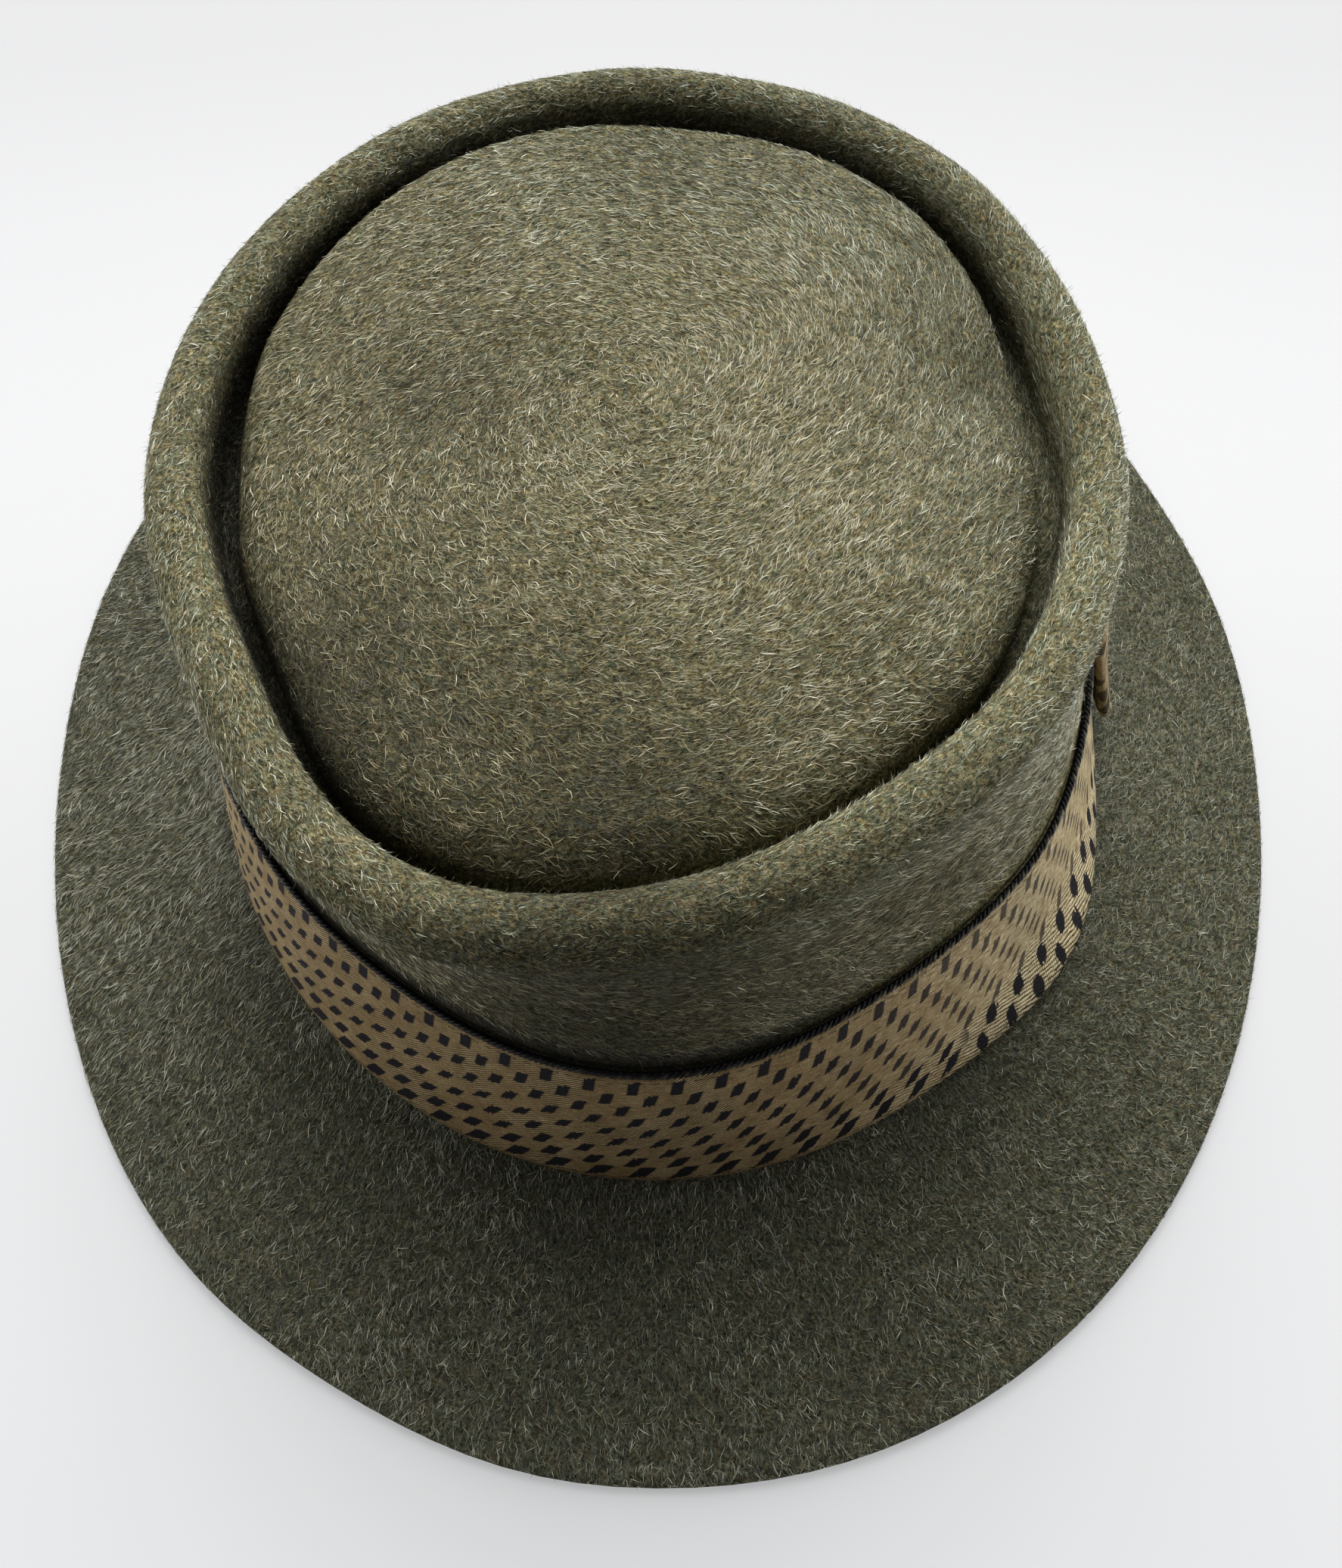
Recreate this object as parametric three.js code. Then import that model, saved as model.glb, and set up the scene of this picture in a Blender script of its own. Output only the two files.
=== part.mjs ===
// A narrow-brimmed felt hat: a telescope (pork pie) crown and its brim in one piece of felt, a
// patterned ribbon band with a black edging along its top, and a flat bow on the wearer's left.
// Millimetres, +Z up, the front of the hat towards -Y. The origin lies on the surface that the
// brim rests on, under the middle of the brim.

import * as THREE from 'three';

// Driving dimensions
const feltThickness = 2.2;
const ribbonThickness = 0.9;
const gap = 0.35; // left between two pieces that lie on each other
const columns = 60; // sections round the hat
const footHeight = 7.2; // where the wall of the crown leaves the brim
const ribbonFoot = 7.8;
const ribbonTop = 48.7;
const flareOut = 5.2; // how far the ribbon's lower edge stands off, ahead of the bow
const flareHeight = 16; // height of the part of the ribbon that stands off
const waistHeight = 69;
const lipHeight = 87.5; // middle line of the rolled lip
const lipRadius = 5.9; // radius of the rolled lip over the front, where it is fullest
const lipTighter = 1.5; // how much smaller the lip's radius is at the sides and the back
const grooveDepth = 13; // from the middle line of the lip to the bottom of the groove
const shallower = 3; // how much less deep the groove is over the wearer's left
const leastGroove = 1.8; // the groove is nowhere narrower
const discEdgeHeight = 89.5; // highest point of the disc's rolled edge
const discCrown = 5; // how much higher the middle of the disc is
const edgeRoll = 3; // radius of the disc's rolled edge
const softDrop = 6; // height of the soft slope that takes its place over the wearer's left
const softWidth = 10; // and its width
const frontDrop = 10; // height of the deep soft roll that takes its place over the front
const frontWidth = 15; // and its width
const brimFlat = 12; // width of the flat rim that rests on the surface
const backLift = 4; // how far the brim's edge rises at the back
const edgingThick = 0.7; // half the thickness of the edging
const edgingTall = 0.9; // half its height

// Ovals seen from above. half is half the width, front and back are the lengths ahead of and
// behind the middle, x is a shift towards the wearer's left, power is 2 for an ellipse, less for
// a more pointed oval and more for a squarer one.
const ovals = {
  brimEdge: { half: 124.5, front: 152, back: 132, x: 0, power: 2.13 },
  foot: { half: 88.4, front: 100.1, back: 95.8, x: 0, power: 2.0 },
  ribbon: { half: 81.8, front: 93.6, back: 92.2, x: -1.5, power: 1.9 },
  waist: { half: 78.6, front: 89.2, back: 89.6, x: -2.9, power: 1.92 },
  lip: { half: 74.5, front: 84.0, back: 82.0, x: -3.5, power: 2.0 },
  disc: { half: 64.6, front: 75.2, back: 75.4, x: -4.6, power: 2.15 },
};

// Dents and swellings of the lines above: at and spread in degrees round the hat, from the
// wearer's left through the back, and push outwards in mm, or upwards for a height.
const dents = [
  { line: 'brimEdge', at: 32, spread: 20, push: -3.2 },
  { line: 'brimEdge', at: 150, spread: 16, push: -1.6 },
  { line: 'brimEdge', at: 248, spread: 12, push: -2.2 },
  { line: 'lip', at: 45, spread: 26, push: 1.4 },
  { line: 'lip', at: 210, spread: 15, push: -1.6 },
  { line: 'lip', at: 243, spread: 20, push: 3.8 },
  { line: 'lip', at: 294, spread: 22, push: -3.6 },
  { line: 'lip', at: 356, spread: 14, push: 1.0 },
  { line: 'lipHeight', at: 236, spread: 30, push: -3.2 },
  { line: 'lipHeight', at: 298, spread: 24, push: 0.8 },
  { line: 'lipHeight', at: 95, spread: 40, push: -0.5 },
  { line: 'waist', at: 298, spread: 20, push: -2.4 },
  { line: 'waist', at: 240, spread: 24, push: 1.0 },
  { line: 'waist', at: 358, spread: 14, push: -0.8 },
  { line: 'ribbon', at: 241, spread: 15, push: -1.2 },
  { line: 'ribbon', at: 294, spread: 15, push: -1.5 },
  { line: 'ribbon', at: 322, spread: 12, push: 1.2 },
  { line: 'ribbon', at: 358, spread: 14, push: -1.9 },
  { line: 'disc', at: 0, spread: 30, push: 3.2 },
  { line: 'disc', at: 52, spread: 18, push: 5.0 },
  { line: 'disc', at: 122, spread: 28, push: 3.0 },
  { line: 'disc', at: 188, spread: 16, push: -0.5 },
  { line: 'disc', at: 238, spread: 26, push: 3.0 },
  { line: 'disc', at: 300, spread: 24, push: -3.5 },
  { line: 'disc', at: 328, spread: 18, push: 2.5 },
  { line: 'discEdgeHeight', at: 55, spread: 20, push: 0.9 },
  { line: 'discEdgeHeight', at: 128, spread: 30, push: 1.8 },
];

// The bow, laid along the band
const bow = { at: 20.2, length: 69, thickness: 4.2, pinch: 2.4, low: 10, high: 46 };
const knot = { width: 12, thickness: 1.2, low: 9, high: 47, standOff: 0.75, middle: 0.5 };

const degree = Math.PI / 180;
const angles = Array.from({ length: columns }, (_, i) => (i / columns) * 2 * Math.PI);

// How much a swelling of the given spread is felt at an angle, from 0 to 1
function nearness(angle, at, spread) {
  const away = Math.atan2(Math.sin(angle - at * degree), Math.cos(angle - at * degree));
  return Math.exp(-((away / (spread * degree)) ** 2));
}

// The sum of the dents and swellings of one line at an angle
function pushed(line, angle) {
  return dents
    .filter((dent) => dent.line === line)
    .reduce((sum, dent) => sum + dent.push * nearness(angle, dent.at, dent.spread), 0);
}

// Distance from the axis of the hat to one of the named lines
function reach(line, angle) {
  const oval = ovals[line];
  const across = Math.abs(Math.cos(angle)) / oval.half;
  const along = Math.abs(Math.sin(angle)) / (Math.sin(angle) < 0 ? oval.front : oval.back);
  const radius = (across ** oval.power + along ** oval.power) ** (-1 / oval.power);
  return radius + oval.x * Math.cos(angle) + pushed(line, angle);
}

// Smooth curve through knots [at, value], with the slope at each knot taken from its neighbours
function through(knots, at) {
  const slope = (i) => {
    const before = knots[Math.max(i - 1, 0)];
    const after = knots[Math.min(i + 1, knots.length - 1)];
    return (after[1] - before[1]) / (after[0] - before[0]);
  };
  const i = Math.min(Math.max(knots.findIndex((k) => k[0] > at) - 1, 0), knots.length - 2);
  const span = knots[i + 1][0] - knots[i][0];
  const t = (at - knots[i][0]) / span;
  const rise = knots[i + 1][1] - knots[i][1];
  const bend = (1 - t) * (slope(i) * span - rise) - t * (slope(i + 1) * span - rise);
  return knots[i][1] + t * rise + t * (1 - t) * bend;
}

// Radius of the rolled lip at an angle
function lipRound(angle) {
  return lipRadius - lipTighter * (1 - nearness(angle, 262, 62));
}

// Distance from the axis to the outside of the crown's wall at a height
function wall(angle, z) {
  return through(
    [
      [footHeight, reach('foot', angle)],
      [ribbonTop, reach('ribbon', angle)],
      [waistHeight, reach('waist', angle)],
      [lipHeight + pushed('lipHeight', angle), reach('lip', angle) + lipRound(angle)],
    ],
    z,
  );
}

// How the brim rises from its flat rim to the wall: share of the way in, and rise
const brimRise = [[0.45, 0.5], [0.75, 1.4], [0.92, 2.5], [0.985, 3.5]];

// The upper side of the felt in one section, as [distance from the axis, height], from the edge
// of the brim up the wall, over the lip, down into the groove and over the disc
function feltSection(angle) {
  const edge = reach('brimEdge', angle);
  const foot = reach('foot', angle);
  const lip = reach('lip', angle);
  const lift = backLift * THREE.MathUtils.smoothstep(Math.sin(angle), 0.35, 1);
  const radius = lipRound(angle);
  const lipMiddle = lipHeight + pushed('lipHeight', angle) + lipRadius - radius;
  const points = [
    [edge, feltThickness + lift],
    [edge - brimFlat, feltThickness + lift * 0.85],
  ];
  for (const [share, rise] of brimRise) {
    const s = THREE.MathUtils.lerp(edge - brimFlat, foot + 0.6, share);
    points.push([s, feltThickness + rise + lift * 0.85 * (1 - share)]);
  }
  points.push([foot + 0.1, footHeight + 0.2]);
  for (const z of [15, 25, 36, ribbonTop, 59, waistHeight, 79]) points.push([wall(angle, z), z]);
  for (const turn of [-4, 24, 52, 80, 108, 136, 166]) {
    points.push([
      lip + radius * Math.cos(turn * degree),
      lipMiddle + radius * Math.sin(turn * degree),
    ]);
  }
  const slope = nearness(angle, 0, 36); // how much of the disc's edge is the soft slope
  const front = nearness(angle, 250, 70); // and how much is the deep roll over the front
  const bottom = lipMiddle - grooveDepth + shallower * slope;
  const inner = lip - radius;
  const disc = Math.min(reach('disc', angle), lip - lipRadius - leastGroove);
  const top = discEdgeHeight + pushed('discEdgeHeight', angle);
  points.push([inner, bottom + 1.6]);
  points.push([(inner + disc) / 2 - 0.3, bottom]);
  const soft = edgeRoll + (softDrop - edgeRoll) * slope + (frontDrop - edgeRoll) * front;
  const wide = edgeRoll + (softWidth - edgeRoll) * slope + (frontWidth - edgeRoll) * front;
  const under = disc - 1.2 * (1 - slope);
  points.push([under, bottom + 1.8]);
  points.push([disc, top - soft]);
  for (const turn of [30, 60, 90]) {
    points.push([
      disc - wide + wide * Math.cos(turn * degree),
      top - soft + soft * Math.sin(turn * degree),
    ]);
  }
  for (const share of [0.78, 0.52, 0.26]) {
    const plain = THREE.MathUtils.lerp(ovals.disc.half, disc - wide, share);
    const edgeTop = THREE.MathUtils.lerp(discEdgeHeight, top, share);
    points.push([plain * share, edgeTop + discCrown * (1 - share ** 2)]);
  }
  return points;
}

// The same line set back into the felt by its thickness, square to the line
function setBack(points, depth) {
  return points.map((point, i) => {
    const before = points[Math.max(i - 1, 0)];
    const after = points[Math.min(i + 1, points.length - 1)];
    const along = new THREE.Vector2(after[0] - before[0], after[1] - before[1]).normalize();
    return [point[0] + along.y * -depth, point[1] + along.x * depth];
  });
}

// A closed body from one section at each angle. Sections are closed loops, or, when the body
// closes on the axis, open lines between two poles given as heights.
function bodyOfSections(sections, poles = null) {
  const count = sections[0].length;
  const positions = [];
  sections.forEach((section, i) => {
    for (const [s, z] of section) positions.push(s * Math.cos(angles[i]), s * Math.sin(angles[i]), z);
  });
  const index = [];
  const at = (i, j) => (i % columns) * count + (j % count);
  for (let i = 0; i < columns; i += 1) {
    for (let j = 0; j < (poles ? count - 1 : count); j += 1) {
      index.push(at(i, j), at(i + 1, j), at(i + 1, j + 1));
      index.push(at(i, j), at(i + 1, j + 1), at(i, j + 1));
    }
  }
  if (poles) {
    const [first, last] = [positions.length / 3, positions.length / 3 + 1];
    positions.push(0, 0, poles[0], 0, 0, poles[1]);
    for (let i = 0; i < columns; i += 1) {
      index.push(first, at(i + 1, 0), at(i, 0));
      index.push(last, at(i, count - 1), at(i + 1, count - 1));
    }
  }
  return geometryOf(positions, index);
}

function geometryOf(positions, index) {
  const geometry = new THREE.BufferGeometry();
  geometry.setAttribute('position', new THREE.Float32BufferAttribute(positions, 3));
  geometry.setIndex(index);
  geometry.computeVertexNormals();
  return geometry;
}

// Crown and brim: one piece of felt of even thickness, open underneath
function feltBody() {
  const sections = angles.map((angle) => {
    const upper = feltSection(angle);
    const under = setBack(upper, feltThickness).map(([s, z], i) => {
      if (i < 2) return [upper[i][0], upper[i][1] - feltThickness];
      return [s, z];
    });
    return [...under.reverse(), ...upper];
  });
  const top = discEdgeHeight + discCrown;
  return bodyOfSections(sections, [top - feltThickness, top]);
}

// The ribbon's lower edge stands off the wall ahead of the bow
function flare(angle, z) {
  const low = Math.max(0, 1 - (z - ribbonFoot) / flareHeight);
  return flareOut * low ** 1.5 * nearness(angle, 325, 17);
}

function ribbonSide(angle, z, out) {
  return [wall(angle, z) + gap + flare(angle, z) + out, z];
}

function bandRibbon() {
  const heights = [ribbonFoot, 11, 16, 23, 31, 40, ribbonTop];
  return bodyOfSections(
    angles.map((angle) => [
      ...heights.map((z) => ribbonSide(angle, z, ribbonThickness)),
      ...heights.map((z) => ribbonSide(angle, z, 0)).reverse(),
    ]),
  );
}

// A thin black cord laid along the top edge of the ribbon
function blackEdging() {
  const sides = 8;
  return bodyOfSections(
    angles.map((angle) => {
      const z = ribbonTop + gap + edgingTall;
      const s = wall(angle, z) + gap + edgingThick;
      return Array.from({ length: sides }, (_, k) => {
        const turn = ((k + 0.5) / sides) * 2 * Math.PI;
        return [s + edgingThick * Math.cos(turn), z + edgingTall * Math.sin(turn)];
      });
    }),
  );
}

// A point beside the band: along it from the middle of the bow, at a height and a distance out
function besideBand(along, z, out) {
  const angle = bow.at * degree + along / reach('ribbon', bow.at * degree);
  const s = ribbonSide(angle, z, ribbonThickness + gap + out)[0];
  return [s * Math.cos(angle), s * Math.sin(angle), z];
}

// A closed body from stacked outlines of [along, out], each given at its own height
function bodyOfOutlines(levels) {
  const count = levels[0].outline.length;
  const positions = levels.flatMap(({ z, outline }) => outline.flatMap(([u, w]) => besideBand(u, z, w)));
  const index = [];
  const at = (level, k) => (level % levels.length) * count + (k % count);
  for (let level = 0; level < levels.length; level += 1) {
    for (let k = 0; k < count; k += 1) {
      index.push(at(level, k), at(level, k + 1), at(level + 1, k + 1));
      index.push(at(level, k), at(level + 1, k + 1), at(level + 1, k));
    }
  }
  return geometryOf(positions, index);
}

// Half the thickness of the folded bow at a distance from its middle, pinched under the knot
function bowHalf(along) {
  const pinched = THREE.MathUtils.smoothstep(Math.abs(along), 3, 13);
  return THREE.MathUtils.lerp(bow.pinch, bow.thickness, pinched) / 2;
}

// The loop of the bow: the ribbon folded over at both ends, hollow from top to bottom
function bowLoop() {
  const steps = 16;
  const outline = (inset) => {
    const end = bow.length / 2 - inset;
    return Array.from({ length: 2 * steps }, (_, k) => {
      const turn = (k / (2 * steps)) * 2 * Math.PI;
      const along = end * Math.sin(turn);
      const side = Math.cos(turn) >= 0 ? 1 : -1;
      const rounded = Math.sqrt(Math.max(0, 1 - Math.abs(along / end) ** 8));
      return [along, bowHalf(along) + side * (bowHalf(along) - inset) * rounded];
    });
  };
  const heights = [bow.low, 22, 35, bow.high];
  return bodyOfOutlines([
    ...heights.map((z) => ({ z, outline: outline(0) })),
    ...heights.map((z) => ({ z, outline: outline(ribbonThickness) })).reverse(),
  ]);
}

// The short piece of ribbon that is wrapped over the middle of the bow
function bowKnot() {
  const half = knot.width / 2;
  const heights = [knot.low, 22, 35, knot.high];
  const back = bow.pinch + knot.standOff;
  const front = back + knot.thickness;
  const outline = [[-half, back], [half, back], [half, front], [0, front + knot.middle], [-half, front]];
  const positions = heights.flatMap((z) => outline.flatMap(([u, w]) => besideBand(u, z, w)));
  const count = outline.length;
  const index = [];
  for (let level = 0; level < heights.length - 1; level += 1) {
    for (let k = 0; k < count; k += 1) {
      const [a, b] = [level * count + k, level * count + ((k + 1) % count)];
      index.push(a, b + count, b, a, a + count, b + count);
    }
  }
  const top = (heights.length - 1) * count;
  for (let k = 1; k < count - 1; k += 1) {
    index.push(0, k, k + 1);
    index.push(top, top + k + 1, top + k);
  }
  return geometryOf(positions, index);
}

const feltFinish = new THREE.MeshStandardMaterial({ color: 0x6b6a55, roughness: 0.95, metalness: 0 });
const ribbonFinish = new THREE.MeshStandardMaterial({ color: 0xa08b66, roughness: 0.7, metalness: 0 });
const blackFinish = new THREE.MeshStandardMaterial({ color: 0x15141a, roughness: 0.6, metalness: 0 });

// The middle of the whole length of the brim comes over the origin
const hat = new THREE.Group();
hat.position.y = (ovals.brimEdge.front - ovals.brimEdge.back) / 2;
for (const [name, geometry, finish] of [
  ['felt_body', feltBody(), feltFinish],
  ['band_ribbon', bandRibbon(), ribbonFinish],
  ['black_edging', blackEdging(), blackFinish],
  ['bow_loop', bowLoop(), ribbonFinish],
  ['bow_knot', bowKnot(), ribbonFinish],
]) {
  const mesh = new THREE.Mesh(geometry, finish);
  mesh.name = name;
  hat.add(mesh);
}

export default hat;
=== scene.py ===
import math

import bmesh
import bpy
import numpy as np
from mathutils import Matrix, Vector


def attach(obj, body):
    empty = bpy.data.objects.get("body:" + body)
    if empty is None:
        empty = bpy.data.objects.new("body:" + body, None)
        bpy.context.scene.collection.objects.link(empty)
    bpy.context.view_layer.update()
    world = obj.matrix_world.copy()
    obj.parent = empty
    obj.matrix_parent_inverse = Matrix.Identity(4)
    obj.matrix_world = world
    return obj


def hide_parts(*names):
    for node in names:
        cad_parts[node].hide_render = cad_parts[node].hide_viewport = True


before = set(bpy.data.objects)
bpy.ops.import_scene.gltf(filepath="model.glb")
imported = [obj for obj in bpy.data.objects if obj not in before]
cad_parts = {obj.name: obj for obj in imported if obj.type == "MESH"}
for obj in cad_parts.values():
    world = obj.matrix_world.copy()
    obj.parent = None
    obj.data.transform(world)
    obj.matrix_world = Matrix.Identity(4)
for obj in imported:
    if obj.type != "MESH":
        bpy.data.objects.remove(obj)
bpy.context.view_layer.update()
scene = bpy.context.scene

# The camera stands a little in front of the hat and looks down on it, as the photographer held it.
photo_height = 2072
focal_length_px = 2150
sensor_height = 36
looking_down = math.radians(63.4)
camera_data = bpy.data.cameras.new("view")
camera_data.sensor_fit = "VERTICAL"
camera_data.sensor_height = sensor_height
camera_data.lens = sensor_height * focal_length_px / photo_height
camera_data.clip_start = 0.01
camera = bpy.data.objects.new("view", camera_data)
camera.location = (0.0026, -0.1587, 0.3023)
camera.rotation_euler = (math.pi / 2 - looking_down, 0, 0)
scene.collection.objects.link(camera)
scene.camera = camera

# The form of the hat: the hatter pulls one cone of felt over an oval block, presses a sunken
# groove round the top of the crown, and irons the brim flat. Lengths are in millimetres, angles
# run from the wearer's left through the back, and every line is an oval with a few dents.
mm = 0.001
felt_thickness = 2.2
foot_height = 7.2
ribbon_foot = 7.8
ribbon_top = 48.7
waist_height = 69
lip_height = 87.5
lip_radius = 5.9
groove_depth = 13
shallower = 3
least_groove = 1.8
disc_edge_height = 89.5
disc_crown = 5
lip_tighter = 1.5
edge_roll = 3
soft_drop = 6
soft_width = 10
front_drop = 10
front_width = 15
brim_flat = 12
back_lift = 4
hat_middle_y = 10
ovals = {
    # line: half width, length ahead, length behind, shift, power
    "brim": (124.5, 152, 132, 0, 2.13),
    "foot": (88.4, 100.1, 95.8, 0, 2.0),
    "ribbon": (81.8, 93.6, 92.2, -1.5, 1.9),
    "waist": (78.6, 89.2, 89.6, -2.9, 1.92),
    "lip": (74.5, 84.0, 82.0, -3.5, 2.0),
    "disc": (64.6, 75.2, 75.4, -4.6, 2.15),
}
dents = {
    # at, spread, push
    "brim": [(32, 20, -3.2), (150, 16, -1.6), (248, 12, -2.2)],
    "ribbon": [(241, 15, -1.2), (294, 15, -1.5), (322, 12, 1.2), (358, 14, -1.9)],
    "waist": [(298, 20, -2.4), (240, 24, 1.0), (358, 14, -0.8)],
    "lip": [(45, 26, 1.4), (210, 15, -1.6), (243, 20, 3.8), (294, 22, -3.6), (356, 14, 1.0)],
    "lip height": [(236, 30, -3.2), (298, 24, 0.8), (95, 40, -0.5)],
    "disc": [(0, 30, 3.2), (52, 18, 5.0), (122, 28, 3.0), (188, 16, -0.5), (238, 26, 3.0),
             (300, 24, -3.5), (328, 18, 2.5)],
    "disc height": [(55, 20, 0.9), (128, 30, 1.8)],
}


def nearness(angle, at, spread):
    away = (angle - math.radians(at) + math.pi) % (2 * math.pi) - math.pi
    return np.exp(-((away / math.radians(spread)) ** 2))


def pushed(line, angle):
    return sum(push * nearness(angle, at, spread) for at, spread, push in dents.get(line, []))


def reach(line, angle):
    half, ahead, behind, shift, power = ovals[line]
    across = np.abs(np.cos(angle)) / half
    along = np.abs(np.sin(angle)) / np.where(np.sin(angle) < 0, ahead, behind)
    return (across**power + along**power) ** (-1 / power) + shift * np.cos(angle) + pushed(line, angle)


def lip_round(angle):
    """Radius of the rolled lip, which is fullest over the front."""
    return lip_radius - lip_tighter * (1 - nearness(angle, 262, 62))


def wall(angle, z):
    """Distance from the hat's axis to the outside of the crown's wall."""
    heights = [foot_height, ribbon_top, waist_height, lip_height + pushed("lip height", angle)]
    reaches = [reach("foot", angle), reach("ribbon", angle), reach("waist", angle)]
    reaches.append(reach("lip", angle) + lip_round(angle))
    i = int(np.searchsorted([ribbon_top, waist_height], z, side="right"))

    def slope(k):
        before, after = max(k - 1, 0), min(k + 1, 3)
        return (reaches[after] - reaches[before]) / (heights[after] - heights[before])

    span = heights[i + 1] - heights[i]
    rise = reaches[i + 1] - reaches[i]
    t = (z - heights[i]) / span
    bend = (1 - t) * (slope(i) * span - rise) - t * (slope(i + 1) * span - rise)
    return reaches[i] + t * rise + t * (1 - t) * bend


def smooth_between(value, low, high):
    t = np.clip((value - low) / (high - low), 0, 1)
    return t * t * (3 - 2 * t)


def felt_line(angle):
    """One section of the felt's upper side, brim to middle: reach, height, steps to the next point."""
    edge, foot, lip = reach("brim", angle), reach("foot", angle), reach("lip", angle)
    disc = np.minimum(reach("disc", angle), lip - lip_radius - least_groove)
    lift = back_lift * smooth_between(np.sin(angle), 0.35, 1)
    radius = lip_round(angle)
    lip_middle = lip_height + pushed("lip height", angle) + lip_radius - radius
    points = [(edge, felt_thickness + lift, 6), (edge - brim_flat, felt_thickness + lift * 0.85, 5)]
    for share, rise in [(0.45, 0.5), (0.75, 1.4), (0.92, 2.5), (0.985, 3.5)]:
        s = edge - brim_flat + (foot + 0.6 - edge + brim_flat) * share
        points.append((s, felt_thickness + rise + lift * 0.85 * (1 - share), 3))
    points.append((foot + 0.1, foot_height + 0.2, 4))
    for z in [15, 25, 36, ribbon_top, 59, waist_height, 79]:
        points.append((wall(angle, z), z + 0 * angle, 5))
    for turn in [-4, 24, 52, 80, 108, 136, 166]:
        across, up = radius * math.cos(math.radians(turn)), radius * math.sin(math.radians(turn))
        points.append((lip + across, lip_middle + up, 3))
    slope = nearness(angle, 0, 36)
    front = nearness(angle, 250, 70)
    bottom = lip_middle - groove_depth + shallower * slope
    inner = lip - radius
    top = disc_edge_height + pushed("disc height", angle)
    soft = edge_roll + (soft_drop - edge_roll) * slope + (front_drop - edge_roll) * front
    wide = edge_roll + (soft_width - edge_roll) * slope + (front_width - edge_roll) * front
    points.append((inner, bottom + 1.6, 3))
    points.append(((inner + disc) / 2 - 0.3, bottom, 3))
    points.append((disc - 1.2 * (1 - slope), bottom + 1.8, 5))
    points.append((disc, top - soft, 4))
    for turn in [30, 60, 90]:
        across, up = wide * math.cos(math.radians(turn)), soft * math.sin(math.radians(turn))
        points.append((disc - wide + across, top - soft + up, 3 if turn < 90 else 10))
    for share in [0.78, 0.52, 0.26]:
        plain = ovals["disc"][0] + (disc - wide - ovals["disc"][0]) * share
        edge_top = disc_edge_height + (top - disc_edge_height) * share
        points.append((plain * share, edge_top + disc_crown * (1 - share**2), 12))
    points.append((0 * angle, disc_edge_height + disc_crown + 0 * angle, 0))
    return points


def felt_sections(columns):
    """Reach and height of the rows of the felt's upper side at even angles, smooth through the points."""
    angle = np.arange(columns) / columns * 2 * math.pi
    points = felt_line(angle)
    s = np.array([p[0] for p in points])
    z = np.array([p[1] + 0 * angle for p in points])
    steps = [p[2] for p in points]
    chord = np.hypot(np.diff(s, axis=0), np.diff(z, axis=0)).mean(axis=1)
    knot = np.concatenate([[0], np.cumsum(chord)])
    last = len(points) - 1
    rows_s, rows_z, row_of_point = [], [], []
    for i in range(last):
        row_of_point.append(len(rows_s))
        before, after = max(i - 1, 0), min(i + 2, last)
        for step in range(steps[i]):
            t = step / steps[i]
            for values, rows in ((s, rows_s), (z, rows_z)):
                span = knot[i + 1] - knot[i]
                slope_here = (values[i + 1] - values[before]) / (knot[i + 1] - knot[before]) * span
                slope_next = (values[after] - values[i]) / (knot[after] - knot[i]) * span
                rise = values[i + 1] - values[i]
                bend = (1 - t) * (slope_here - rise) - t * (slope_next - rise)
                rows.append(values[i] + t * rise + t * (1 - t) * bend)
    row_of_point.append(len(rows_s))
    rows_s.append(s[last])
    rows_z.append(z[last])
    return angle, np.array(rows_s).T, np.array(rows_z).T, row_of_point


def hand_shaping(x, y, z):
    """Small hollows and swellings that handling has left in the crown."""
    crown = smooth_between(z, 60, 84)
    corner = 2.6 * np.exp(-((x - 56) ** 2 + (y - 12) ** 2) / 11**2)
    waves = 0.35 * np.sin(x * 0.083 + 1.1) * np.sin(y * 0.071 + 0.4) + 0.2 * np.sin(x * 0.15 - y * 0.12)
    return crown * (waves - corner)


felt_columns = 144
angle, felt_s, felt_z, row_of_point = felt_sections(felt_columns)
rows = felt_s.shape[1]


def set_back(s, z, depth):
    ds, dz = np.gradient(s, axis=1), np.gradient(z, axis=1)
    size = np.hypot(ds, dz) + 1e-9
    return s - depth * dz / size, z + depth * ds / size


# The first row of some stretches of the section, from the brim's edge to the middle of the disc
foot_row, low_band_row, high_band_row, band_top_row = [row_of_point[i] for i in (6, 8, 9, 10)]
under_lip_row, lip_inside_row, groove_row, groove_floor_row = [row_of_point[i] for i in (13, 19, 20, 21)]
disc_foot_row, disc_side_row, disc_edge_row = [row_of_point[i] for i in (23, 24, 26)]
inner_s, inner_z = set_back(felt_s, felt_z, felt_thickness)
first_inner_row, inner_row_step = 6, 2
inner_rows = range(first_inner_row, rows, inner_row_step)[::-1]
edge_s, edge_z = felt_s[:, 0], felt_z[:, 0]
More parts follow.
